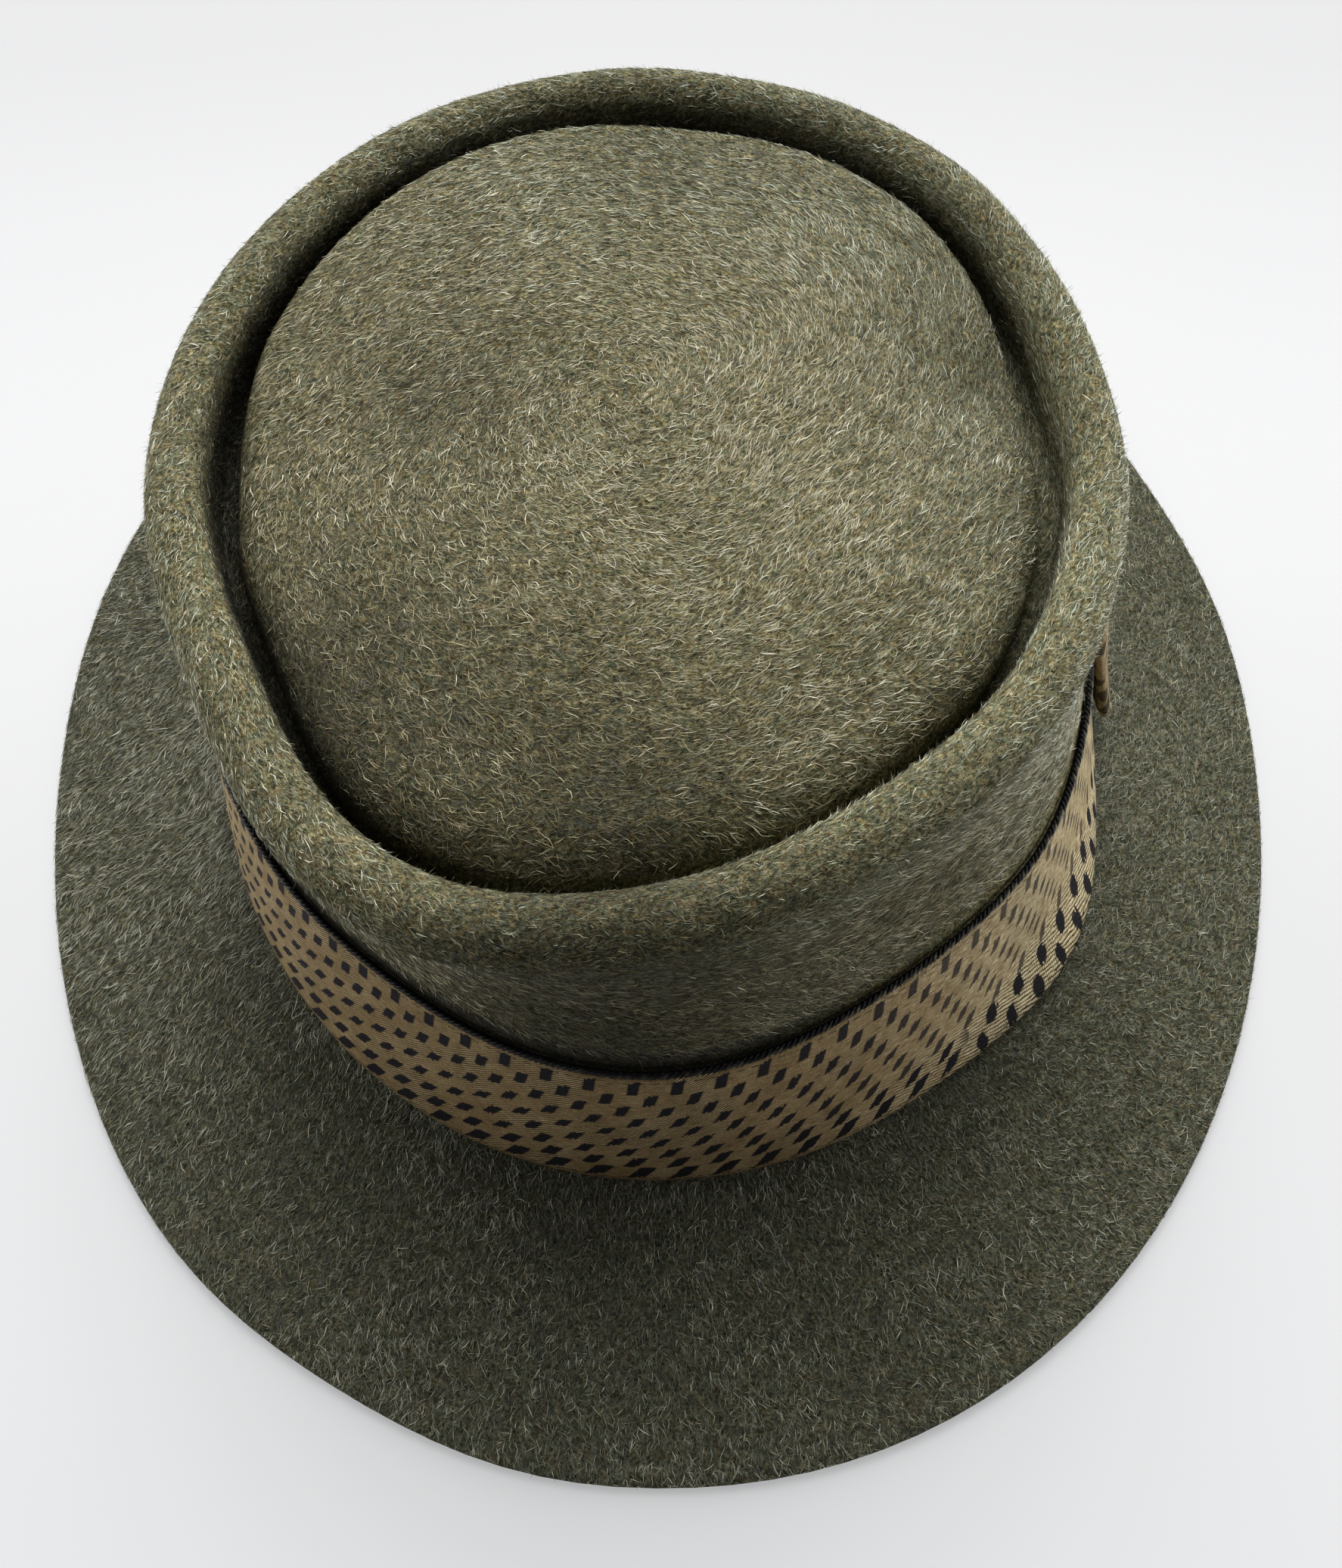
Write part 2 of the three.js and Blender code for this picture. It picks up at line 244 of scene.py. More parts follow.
# Inside from the middle out, the cut edge of the brim, then the outside up to the middle again
section_s = [inner_s[:, r] for r in inner_rows] + [edge_s - brim_flat * 0.5]
section_z = [inner_z[:, r] for r in inner_rows] + [edge_z - felt_thickness]
for inset, height in [(0.5, 0), (0.1, 0.35), (0, 1.1), (0.1, 1.9)]:
    section_s.append(edge_s - inset)
    section_z.append(edge_z - felt_thickness + height)
outer_start = len(section_s)
section_s += [felt_s[:, r] - (0.5 if r == 0 else 0) for r in range(rows)]
section_z += [felt_z[:, r] for r in range(rows)]
section_s, section_z = np.array(section_s).T, np.array(section_z).T
section_s[:, 0] = 0
section_s[:, -1] = 0
x = section_s * np.cos(angle)[:, None]
y = section_s * np.sin(angle)[:, None]
felt_places = np.stack([x, y + hat_middle_y, section_z + hand_shaping(x, y, section_z)], axis=-1) * mm


def finished_piece(name, bm):
    """The piece made of a bmesh, smooth, with its faces outwards and in the same order on each run."""
    bmesh.ops.recalc_face_normals(bm, faces=bm.faces[:])
    order = Vector((1, 31, 977))
    bm.verts.sort(key=lambda vert: vert.co.dot(order))
    bm.edges.sort(key=lambda edge: edge.verts[0].co.dot(order) + edge.verts[1].co.dot(order))
    bm.faces.sort(key=lambda face: face.calc_center_median().dot(order))
    for face in bm.faces:
        face.smooth = True
    mesh = bpy.data.meshes.new(name)
    bm.to_mesh(mesh)
    bm.free()
    piece = bpy.data.objects.new(name, mesh)
    scene.collection.objects.link(piece)
    return piece


def spin_piece(name, places, closed=False):
    """A piece turned about the hat's axis from one section, then pressed to its place at each angle."""
    columns, count = places.shape[:2]
    bm = bmesh.new()
    row_layer = bm.verts.layers.int.new("row")
    section = []
    for row in range(count):
        radius = 1.0 + 0.001 * row
        if not closed and abs(places[0, row, 0]) < 1e-9 and row in (0, count - 1):
            radius = 0.0
        vert = bm.verts.new((radius, 0, row * 0.01))
        vert[row_layer] = row
        section.append(vert)
    edges = [bm.edges.new(pair) for pair in zip(section, section[1:])]
    if closed:
        edges.append(bm.edges.new((section[-1], section[0])))
    bmesh.ops.spin(
        bm, geom=section + edges, cent=(0, 0, 0), axis=(0, 0, 1), angle=2 * math.pi,
        steps=columns, use_merge=True, use_duplicate=False,
    )
    bmesh.ops.remove_doubles(bm, verts=bm.verts[:], dist=1e-5)
    for vert in bm.verts:
        column = round(math.atan2(vert.co.y, vert.co.x) / (2 * math.pi) * columns) % columns
        vert.co = places[column, vert[row_layer]]
    return finished_piece(name, bm)


# Patches of painted light and shade, where the pile's sheen and the light make the wool look lighter or
# darker
painted_shade_patches = [
    # x, y from the axis, size, how much lighter the wool is painted there on the disc, as painted light and
    # shade
    (-33, 8, 14, -0.20),
    (-45, -48, 26, -0.28),
    (-5, -67, 22, -0.28),
    (-7, -27, 26, 0.12),
    (30, -12, 24, 0.09),
    (57, 5, 19, -0.11),
    (3, 63, 15, -0.08),
    (0, 30, 25, 0.08),
]
# The same painted light and shade by bearing, spread and how much, for the wall with the lip and for the
# brim
painted_shade_wall = [(205, 28, 0.10), (239, 11, 0.12), (258, 46, -0.20), (266, 15, -0.12), (312, 30, 0.07),
                (342, 16, 0.10)]
painted_shade_brim = [(262, 50, -0.12), (200, 13, 0.09), (345, 22, 0.05), (268, 20, -0.03)]
brim_lighter = 0.06
# Painted shade in the groove and a painted shadow over the cord at the front, as shifts of tone
groove_painted_shade, cord_shadow = -0.5, -0.7


def by_bearing(bearing, patches):
    return sum(lighter * nearness(bearing, at, spread) for at, spread, lighter in patches)


def painted_light_and_shade(bearing, row, x, y):
    """How much lighter or darker the wool is painted: painted shade in the groove and over the cord at the
    front, and painted light and shade in patches.
    """
    groove = smooth_between(row, lip_inside_row, groove_floor_row)
    groove = groove * (1 - smooth_between(row, disc_side_row, disc_edge_row))
    total = groove_painted_shade * groove * (1 - nearness(bearing, 5, 40)) * (1 - 0.9 * nearness(bearing, 281, 44))
    for x_at, y_at, size, lighter in painted_shade_patches:
        near = np.exp(-((x - x_at) ** 2 + (y - y_at) ** 2) / size**2)
        total = total + lighter * near * (row > disc_side_row)
    on_wall = smooth_between(row, foot_row, low_band_row) * (row < groove_row)
    total = total + by_bearing(bearing, painted_shade_wall) * on_wall
    # A dark shadow lies over the cord at the front, where it stands off the felt
    over_cord = (row > high_band_row) & (row < band_top_row + 2.5)
    total = total + cord_shadow * nearness(bearing, 243, 47) * over_cord
    return total + (brim_lighter + by_bearing(bearing, painted_shade_brim)) * (row <= foot_row)


felt = spin_piece("felt_surface", felt_places)
# Each point keeps the painted light and shade of the wool there
mesh = felt.data
point_rows = np.empty(len(mesh.vertices), dtype=np.int32)
mesh.attributes["row"].data.foreach_get("value", point_rows)
places = np.empty(len(mesh.vertices) * 3)
mesh.vertices.foreach_get("co", places)
places = places.reshape(-1, 3) / mm - (0, hat_middle_y, 0)
bearing = np.arctan2(places[:, 1], places[:, 0])
painted_shading = painted_light_and_shade(bearing, point_rows - outer_start, places[:, 0], places[:, 1])
painted_shading = np.where(point_rows < outer_start, 0, painted_shading)
mesh.attributes.new("painted_shading", "FLOAT", "POINT").data.foreach_set("value", painted_shading.astype(np.float32))
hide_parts("felt_body")
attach(felt, "root")


# The matted wool under the nap is darker than the hairs that lie over it. Shader values are reckoned
# with as plain sums.
class Value:
    """A value of a shader: each sum with it becomes a math node of its finish."""

    def __init__(self, finish, socket):
        self.finish, self.socket = finish, socket

    def __add__(self, other):
        return self.finish.math("ADD", self, other)

    def __sub__(self, other):
        return self.finish.math("SUBTRACT", self, other)

    def __rsub__(self, other):
        return self.finish.math("SUBTRACT", other, self)

    def __mul__(self, other):
        return self.finish.math("MULTIPLY", self, other)

    def __truediv__(self, other):
        return self.finish.math("DIVIDE", self, other)

    def __pow__(self, other):
        return self.finish.math("POWER", self, other)

    def __abs__(self):
        return self.finish.math("ABSOLUTE", self)

    def at_least(self, other):
        return self.finish.math("MAXIMUM", self, other)

    def at_most(self, other):
        return self.finish.math("MINIMUM", self, other)

    def wave(self):
        return self.finish.math("SINE", self)

    def from_nearest(self, pitch):
        """How far the value lies past the nearest multiple of the pitch."""
        return (self.finish.math("FRACT", self / pitch + 0.5) - 0.5) * pitch

    def step(self, low, high):
        """Rises softly from 0 at the low value to 1 at the high one."""
        node = self.finish.node("MapRange", Value=self, From_Min=low, From_Max=high)
        node.interpolation_type = "SMOOTHSTEP"
        return Value(self.finish, node.outputs[0])


class Finish:
    """A material in the making. Colours are tuples or what its other methods give."""

    def __init__(self, name):
        self.material = bpy.data.materials.new(name)
        self.material.use_nodes = True
        self.nodes = self.material.node_tree.nodes
        self.surface = self.nodes["Principled BSDF"].inputs

    def join(self, source, socket):
        """Links a socket, or sets it to a plain number or colour."""
        if isinstance(source, (int, float, tuple)):
            socket.default_value = source
            return
        source = source.socket if isinstance(source, Value) else source
        self.material.node_tree.links.new(source, socket)

    def node(self, kind, **sources):
        """A new node, with what goes into its sockets."""
        node = self.nodes.new("ShaderNode" + kind)
        for name, source in sources.items():
            self.join(source, node.inputs[name.replace("_", " ")])
        return node

    def all_over(self, **values):
        """Values that are the same all over the piece go on the shader's own sockets."""
        for name, value in values.items():
            self.surface[name.replace("_", " ")].default_value = value

    def math(self, operation, *values):
        node = self.node("Math")
        node.operation = operation
        for socket, value in zip(node.inputs, values):
            self.join(value, socket)
        return Value(self, node.outputs[0])

    def vector_math(self, operation, vector, by):
        node = self.node("VectorMath")
        node.operation = operation
        self.join(vector, node.inputs[0])
        self.join(by, node.inputs["Scale" if operation == "SCALE" else 1])
        return node.outputs[0]

    def attribute(self, name, output="Fac"):
        node = self.node("Attribute")
        node.attribute_name = name
        return Value(self, node.outputs[output])

    def place(self):
        return self.node("TexCoord").outputs["Object"]

    def split(self, vector):
        return [Value(self, output) for output in self.node("SeparateXYZ", Vector=vector).outputs]

    def noise(self, place, scale, detail=2, roughness=0.6):
        node = self.node("TexNoise", Vector=place, Scale=scale, Detail=detail, Roughness=roughness)
        return Value(self, node.outputs["Fac"])

    def colour_steps(self, value, stops):
        ramp = self.node("ValToRGB", Fac=value)
        elements = ramp.color_ramp.elements
        while len(elements) < len(stops):
            elements.new(0.5)
        for element, (at, colour) in zip(elements, stops):
            element.position = at
            element.color = (*colour, 1)
        return ramp.outputs[0]

    def mixed(self, share, colour_a, colour_b):
        mix = self.node("Mix")
        mix.data_type = "RGBA"
        self.join(share, mix.inputs["Factor"])
        self.join(colour_a, mix.inputs["A"])
        self.join(colour_b, mix.inputs["B"])
        return mix.outputs["Result"]

    def paint(self, colour):
        self.join(colour, self.surface["Base Color"])

    def bump(self, height, strength, distance):
        node = self.node("Bump", Height=height, Strength=strength, Distance=distance)
        self.join(node.outputs[0], self.surface["Normal"])


matted_felt = Finish("matted_felt")
place = matted_felt.place()
fibres = matted_felt.noise(place, 1500, 5, 0.65)
fine_fibres = matted_felt.noise(place, 3600)
tufts = matted_felt.noise(place, 420, 3)
matted = fibres * 0.55 + (fine_fibres * 0.25 + tufts * 0.2)
green_wool = matted_felt.colour_steps(matted, [
    (0.38, (0.009, 0.010, 0.004)),
    (0.46, (0.050, 0.055, 0.026)),
    (0.54, (0.140, 0.143, 0.078)),
    (0.63, (0.340, 0.330, 0.200)),
])
brown_wool = matted_felt.colour_steps(matted, [
    (0.38, (0.012, 0.009, 0.003)),
    (0.46, (0.068, 0.053, 0.020)),
    (0.54, (0.185, 0.152, 0.070)),
    (0.63, (0.420, 0.360, 0.200)),
])
wool = matted_felt.mixed(matted_felt.noise(place, 800).step(0.42, 0.58), green_wool, brown_wool)
# The brim's wool is darker than the crown's; the ribbon hides where one turns into the other
brim_tint, crown_tint = (0.50, 0.545, 0.60, 1.0), (1.0, 1.0, 1.0, 1.0)
on_crown = matted_felt.split(place)[2].step(0.020, 0.045)
wool = matted_felt.vector_math("MULTIPLY", wool, matted_felt.mixed(on_crown, brim_tint, crown_tint))
# The painted light and shade darkens or lightens the wool's colour
pile_shade = (matted_felt.attribute("painted_shading") * 1.7 + 1).at_least(0.15)
matted_felt.paint(matted_felt.vector_math("SCALE", wool, pile_shade))
matted_felt.all_over(Roughness=0.95, Specular_IOR_Level=0.15)
matted_felt.bump(matted, 0.6, 0.0004)
felt.data.materials.append(matted_felt.material)

# The nap: long hairs of the felt, brushed round a whorl on the disc, slantwise over the sides and
# straight out over the front of the brim. Each hair is a thin blade that follows the felt, and some
# stand off it as down. Hairs of many tones are mixed.
nap_columns = 720
nap_angle, nap_s, nap_z, _ = felt_sections(nap_columns)
x, y = nap_s * np.cos(nap_angle)[:, None], nap_s * np.sin(nap_angle)[:, None]
surface = np.stack([x, y, nap_z + hand_shaping(x, y, nap_z)], axis=-1)
surface = np.concatenate([surface, surface[:1]], axis=0)
around = np.gradient(surface, axis=0)
around[0] = around[-1] = (surface[1] - surface[-2]) / 2
inward = np.gradient(surface, axis=1)
outward_normal = np.cross(around, inward)
outward_normal /= np.linalg.norm(outward_normal, axis=-1, keepdims=True) + 1e-9
around_size = np.linalg.norm(around, axis=-1)
inward_size = np.linalg.norm(inward, axis=-1)
whorl = np.array([-2.5, 6.5])
wall_start, disc_start, disc_end = band_top_row + 2, disc_foot_row, rows - 2


def look_up(table, column, row):
    """The table's value between its grid points."""
    c = np.clip(column % nap_columns, 0, nap_columns - 1e-6)
    r = np.clip(row, 0, rows - 1.001)
    c0, r0 = c.astype(int), r.astype(int)
    fc, fr = c - c0, r - r0
    if table.ndim == 3:
        fc, fr = fc[:, None], fr[:, None]
    low = table[c0, r0] * (1 - fc) + table[c0 + 1, r0] * fc
    high = table[c0, r0 + 1] * (1 - fc) + table[c0 + 1, r0 + 1] * fc
    return low * (1 - fr) + high * fr


def drift(place, size, seed):
    """A smooth wandering value from -1 to 1 over the hat, with patches of about the given size."""
    rng = np.random.default_rng(seed)
    total = np.zeros(len(place))
    for _ in range(6):
        way = rng.normal(size=3)
        way *= rng.uniform(0.7, 1.5) * 2 * math.pi / size / np.linalg.norm(way)
        total += np.sin(place @ way + rng.uniform(0, 2 * math.pi))
    return total / 3


def nap_way(turn, zone, root):
    """How far hairs lean outwards from lying round the hat, how much they stray, how long they are."""
    if zone == "brim":
        lean = 16 + 74 * nearness(turn, 262, 60) + 14 * nearness(turn, 180, 40)
        stray = 38 - 20 * nearness(turn, 190, 45)
        long = 0.8 + 0.4 * nearness(turn, 190, 50) + 0.15 * nearness(turn, 270, 40)
    elif zone == "wall":
        lean = 5 + 20 * nearness(turn, 180, 50) + 12 * nearness(turn, 0, 40)
        stray, long = 22 + 0 * turn, 1 + 0 * turn
    elif zone == "lip":
        lean = 2 + 25 * nearness(turn, 0, 45) + 30 * nearness(turn, 180, 45)
        stray, long = 24 + 0 * turn, 0.9 + 0 * turn
    else:
        lean = 25 * nearness(turn, 0, 35) + 38 * nearness(turn, 170, 45)
        near_whorl = np.exp(-(np.hypot(root[:, 0] - whorl[0], root[:, 1] - whorl[1]) / 15) ** 2)
        stray = 17 + 24 * near_whorl + 18 * nearness(turn, 225, 45)
        long = 1 - 0.2 * near_whorl
    return lean, stray, long


def painted_daylight_tint(bearing, zone, root):
    """Share of the hairs painted blue-green, a painted tint of the cool daylight on the lip and at the
    sides.
    """
    if zone == "lip":
        return 0.55 + 0.45 * nearness(bearing, 50, 90)
    if zone == "wall":
        return 0.45 * nearness(bearing, 340, 30)
    outer = smooth_between(np.hypot(root[:, 0], root[:, 1]), 25, 62)
    return outer * (0.8 * nearness(bearing, 15, 50) + 0.7 * nearness(bearing, 90, 40))


def row_reaching(column, reach_wanted):
    """The row of the disc whose reach is the one wanted, at each column."""
    found = np.empty(len(column))
    whole = column.astype(int) % nap_columns
    order = np.argsort(whole, kind="stable")
    edges = np.searchsorted(whole[order], np.arange(nap_columns + 1))
    disc_rows = np.arange(rows - 1, disc_start - 1, -1)
    for c in range(nap_columns):
        picked = order[edges[c]:edges[c + 1]]
        if len(picked):
            found[picked] = np.interp(reach_wanted[picked], nap_s[c, disc_rows], disc_rows)
    return found


# How much the hairs' tone drifts, size of the patches, seed
tone_drifts = [(0.05, 7, 7), (0.09, 2.2, 9), (0.06, 30, 8), (0.13, 1.3, 13)]
palest_share, darkest_share = 0.97, 0.03
hair_half_width = (0.028, 0.055)


def strands(name, zone, first_row, last_row, count, length, joints, loose, seed):
    """A piece of nap: thin blades that start at even spacing on some rows of the felt."""
    rng = np.random.default_rng(seed)
    area = (around_size * inward_size)[:nap_columns, first_row:last_row]
    share = np.cumsum(area.ravel())
    cell = np.searchsorted(share, rng.random(count) * share[-1])
    column = cell // area.shape[1] + rng.random(count)
    row = first_row + cell % area.shape[1] + rng.random(count)
    # Zones run into each other, so that no line shows between them
    if zone in ("wall", "lip"):
        row = wall_start + np.abs(row + rng.uniform(-2.5, 2.5, count) - wall_start)
    root = look_up(surface, column, row)
    on_disc = zone == "disc"
    turn = bearing = column / nap_columns * 2 * math.pi
    if on_disc:
        turn = np.arctan2(root[:, 1] - whorl[1], root[:, 0] - whorl[0])
    lean, stray, long = nap_way(turn, zone, root)
    tufts = drift(root, 2.4, 12)
    dice = rng.random(count)
    tone = np.where(joints > 1, dice**0.75, dice - 0.03) - 0.01
    drifts = sum(much * drift(root, size, patch_seed) for much, size, patch_seed in tone_drifts)
    tone += 0.05 * tufts + drifts
    # The hairs take the same painted light and shade as the wool under them
    tone += painted_light_and_shade(bearing, row, root[:, 0], root[:, 1])
    tone = np.clip(tone, darkest_share, palest_share)
    cool = rng.random(count) < painted_daylight_tint(bearing, zone, root)
    # Of the families, 0 is the crown's, 1 is blue-green, a painted daylight tint, and 2 is the brim's
    family = 2 if zone == "brim" else cool
    lean = lean + 14 * drift(root, 34, 5) + 12 * drift(root, 10, 6)
    lean = np.radians(lean + rng.normal(0, 1, count) * stray)
    curl = np.radians(rng.normal(0, 38 if joints < 3 else 48, count))
    strand_length = length * long * rng.uniform(0.5, 1.4, count)
    rise = 0.04 + rng.uniform(0.3, 1.0, count) * (0.08 + 0.34 * tone**2) * np.maximum(0.2, 1 + 0.9 * tufts)
    stands = rng.random(count) < loose
    lifted = np.radians(rng.uniform(10, 75, count))
    points, sides = [], []
    wide = rng.uniform(*hair_half_width, count) * (1.15 if joints > 1 else 1) * (0.8 + 0.5 * tone)
    roll = np.radians(rng.uniform(-60, 60, count))
    column_now, row_now = column, row
    x_now, y_now = root[:, 0], root[:, 1]
    for joint in range(joints + 1):
        here = look_up(surface, column_now, row_now)
        normal = look_up(outward_normal, column_now, row_now)
        along = joint / joints
        step = strand_length / joints
        if on_disc:
            heading = turn + math.pi / 2 - lean
            way = np.stack([np.cos(heading), np.sin(heading), 0 * heading], axis=1)
            way -= normal * (way * normal).sum(axis=1, keepdims=True)
            x_now, y_now = x_now + step * np.cos(heading), y_now + step * np.sin(heading)
            column_next = np.arctan2(y_now, x_now) % (2 * math.pi) / (2 * math.pi) * nap_columns
            row_next = row_reaching(column_next, np.hypot(x_now, y_now))
        else:
            round_way = look_up(around, column_now, row_now)
            in_way = look_up(inward, column_now, row_now)
            round_size = np.linalg.norm(round_way, axis=1) + 1e-6
            in_size = np.linalg.norm(in_way, axis=1) + 1e-6
            way = np.cos(lean)[:, None] * round_way / round_size[:, None]
            way -= np.sin(lean)[:, None] * in_way / in_size[:, None]
            column_next = column_now + step * np.cos(lean) / np.maximum(round_size, 0.02)
            row_next = row_now - step * np.sin(lean) / in_size
        way /= np.linalg.norm(way, axis=1, keepdims=True) + 1e-9
        if joint == 0:
            first_way, first_normal, start = way, normal, here
        height = rise * (1 - (1 - along) ** 2) + 0.02
        point = here + normal * height[:, None]
        straight = np.cos(lifted)[:, None] * first_way + np.sin(lifted)[:, None] * first_normal
        free = start + straight * (strand_length * 0.7 * along)[:, None]
        points.append(np.where(stands[:, None], free, point))
        across = np.cross(normal, way)
        across = across * np.cos(roll)[:, None] + normal * np.sin(roll)[:, None]
        sides.append(across * (wide * (1 - along**2))[:, None])
        column_now, row_now = column_next, row_next
        lean = lean + curl / joints
    corners = 2 * joints + 1
    verts = np.empty((count, corners, 3))
    for joint in range(joints):
        verts[:, 2 * joint] = points[joint] - sides[joint]
        verts[:, 2 * joint + 1] = points[joint] + sides[joint]
    verts[:, -1] = points[joints]
    verts[..., 1] += hat_middle_y
    triangles = []
    for joint in range(joints - 1):
        a = 2 * joint
        triangles += [(a, a + 1, a + 3), (a, a + 3, a + 2)]
    triangles.append((corners - 3, corners - 2, corners - 1))
    faces = (np.arange(count)[:, None, None] * corners + np.array(triangles)[None]).reshape(-1, 3)
    mesh = bpy.data.meshes.new(name)
    mesh.vertices.add(count * corners)
    mesh.vertices.foreach_set("co", (verts * mm).ravel())
    mesh.loops.add(faces.size)
    mesh.loops.foreach_set("vertex_index", faces.ravel())
    mesh.polygons.add(len(faces))
    mesh.polygons.foreach_set("loop_start", np.arange(len(faces)) * 3)
    mesh.polygons.foreach_set("use_smooth", np.ones(len(faces), bool))
    mesh.update(calc_edges=True)
    # Each corner knows its hair's tone and how far along the hair it lies
    to_side = np.array([-1, 1] * joints + [0]) * 0.004
    along = np.repeat(np.arange(joints + 1) / joints, 2)[:corners]
    hue = np.ones((count, corners, 4))
    hue[..., 0] = ((tone + family) / len(families))[:, None] + to_side[None]
    hue[..., 1] = along[None]
    hue[..., 2] = 0
    attribute = mesh.color_attributes.new("nap", "FLOAT_COLOR", "POINT")
    attribute.data.foreach_set("color", hue.ravel())
    chart = mesh.uv_layers.new(name="OFBake")
    chart.uv.foreach_set("vector", hue[..., :2].reshape(-1, 2)[faces.ravel()].ravel())
    piece = bpy.data.objects.new(name, mesh)
    scene.collection.objects.link(piece)
    mesh.materials.append(nap_hairs.material)
    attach(piece, "root")
    return piece


# One finish for all the hairs. Each knows its tone, in its family's third of the colours, and how
# far along the hair a point lies: hairs are shaded at the root and catch the light at the tip.
nap_hairs = Finish("nap_hairs")
tone_there, along_hair, _ = nap_hairs.split(nap_hairs.attribute("nap", "Color"))
crown_hairs = [
    (0.00, (0.012, 0.010, 0.004)),
    (0.14, (0.034, 0.030, 0.009)),
    (0.24, (0.054, 0.058, 0.022)),
    (0.36, (0.116, 0.116, 0.052)),
    (0.48, (0.205, 0.150, 0.070)),
    (0.60, (0.250, 0.255, 0.130)),
    (0.72, (0.430, 0.360, 0.180)),
    (0.84, (0.560, 0.510, 0.320)),
    (0.94, (0.780, 0.730, 0.500)),
    (0.99, (0.880, 0.840, 0.660)),
]
# The blue-green hairs differ most in the dark and middle tones; the palest are nearly the same
cool_hairs = [(at, (red * 0.94, green * (1.13 - 0.06 * at), blue * (1.65 - 0.5 * at)))
              for at, (red, green, blue) in crown_hairs]
brim_hairs = [
    (0.01, (0.008, 0.009, 0.006)),
    (0.22, (0.024, 0.028, 0.021)),
    (0.42, (0.060, 0.064, 0.044)),
    (0.56, (0.110, 0.092, 0.050)),
    (0.70, (0.150, 0.158, 0.110)),
    (0.86, (0.330, 0.330, 0.240)),
    (1.00, (0.640, 0.640, 0.500)),
]
families = [crown_hairs, cool_hairs, brim_hairs]
hair_colour = nap_hairs.colour_steps(tone_there, [
    ((i + at) / len(families), colour) for i, hairs in enumerate(families) for at, colour in hairs
])
root_shade, tip_shade = 0.42, 1.3
shade = along_hair * (tip_shade - root_shade) + root_shade
nap_hairs.paint(nap_hairs.vector_math("SCALE", hair_colour, shade))
nap_hairs.all_over(Roughness=0.42, Specular_IOR_Level=0.38, Sheen_Weight=0.22, Sheen_Roughness=0.5,
                   Sheen_Tint=(1.0, 0.97, 0.85, 1.0))

# name, zone, rows, number of hairs, length, joints, share that stands off, seed
strands("nap_brim", "brim", 0, foot_row, 190000, 1.5, 1, 0.03, 21)
strands("nap_brim_long", "brim", 0, foot_row, 22000, 2.2, 2, 0.05, 31)
strands("nap_wall", "wall", wall_start, under_lip_row, 95000, 1.9, 1, 0.08, 22)
strands("nap_wall_long", "wall", wall_start, under_lip_row, 24000, 2.1, 2, 0.12, 32)
strands("nap_lip", "lip", under_lip_row, disc_start, 92000, 1.7, 1, 0.15, 23)
strands("nap_lip_long", "lip", under_lip_row, disc_start, 26000, 1.9, 2, 0.28, 33)
strands("nap_disc_under", "disc", disc_start, disc_end, 100000, 1.8, 1, 0.04, 24)
strands("nap_disc", "disc", disc_start, disc_end, 26000, 2.1, 3, 0.06, 25)

# The ribbon: a tan twill band with staggered rows of near-black woven diamonds, drawn tight round
# the foot of the crown and stitched on. Its lower edge stands off the felt ahead of the bow.
ribbon_thickness = 0.9
gap = 0.35
flare_out, flare_height = 5.2, 16
ribbon_columns, ribbon_rows = 360, 26


def flare(angle, z):
    low = np.maximum(0, 1 - (z - ribbon_foot) / flare_height)
    return flare_out * low**1.5 * nearness(angle, 325, 17)


def ribbon_side(angle, z, out):
    return wall(angle, z) + gap + flare(angle, z) + out


# Its closed section runs up the outside and down the inside
ribbon_angle = np.arange(ribbon_columns) / ribbon_columns * 2 * math.pi
heights = np.linspace(ribbon_foot, ribbon_top, ribbon_rows)
sides = [(ribbon_thickness, z) for z in heights] + [(0.05, z) for z in heights[::-1]]
s = np.array([ribbon_side(ribbon_angle, z, out) for out, z in sides]).T
z = np.array([z + 0 * ribbon_angle for _, z in sides]).T
x, y = s * np.cos(ribbon_angle)[:, None], s * np.sin(ribbon_angle)[:, None] + hat_middle_y
ribbon = spin_piece("ribbon_band", np.stack([x, y, z], axis=-1) * mm, closed=True)
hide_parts("band_ribbon")
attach(ribbon, "root")

# Its UV map tells, in metres, how far a point lies along the band from the bow, and how high
middle = ribbon_side(ribbon_angle, 28, ribbon_thickness)
band_x, band_y = middle * np.cos(ribbon_angle), middle * np.sin(ribbon_angle)
band_step = np.hypot(np.roll(band_x, -1) - band_x, np.roll(band_y, -1) - band_y)
band_length = float(band_step.sum())
along_band = np.concatenate([[0], np.cumsum(band_step)])
places = np.empty(len(ribbon.data.vertices) * 3)
ribbon.data.vertices.foreach_get("co", places)
places = places.reshape(-1, 3) / mm
turn = np.arctan2(places[:, 1] - hat_middle_y, places[:, 0]) % (2 * math.pi)
u = np.interp(turn / (2 * math.pi) * ribbon_columns, np.arange(ribbon_columns + 1), along_band)
band_uv = ribbon.data.uv_layers.new(name="along_band").data
for polygon in ribbon.data.polygons:
    seam = max(u[v] for v in polygon.vertices) - min(u[v] for v in polygon.vertices) > band_length / 2
    for loop_index, v in zip(polygon.loop_indices, polygon.vertices):
        shift = band_length if seam and u[v] < band_length / 2 else 0
        band_uv[loop_index].uv = ((u[v] + shift) * mm, (places[v, 2] - ribbon_foot) * mm)

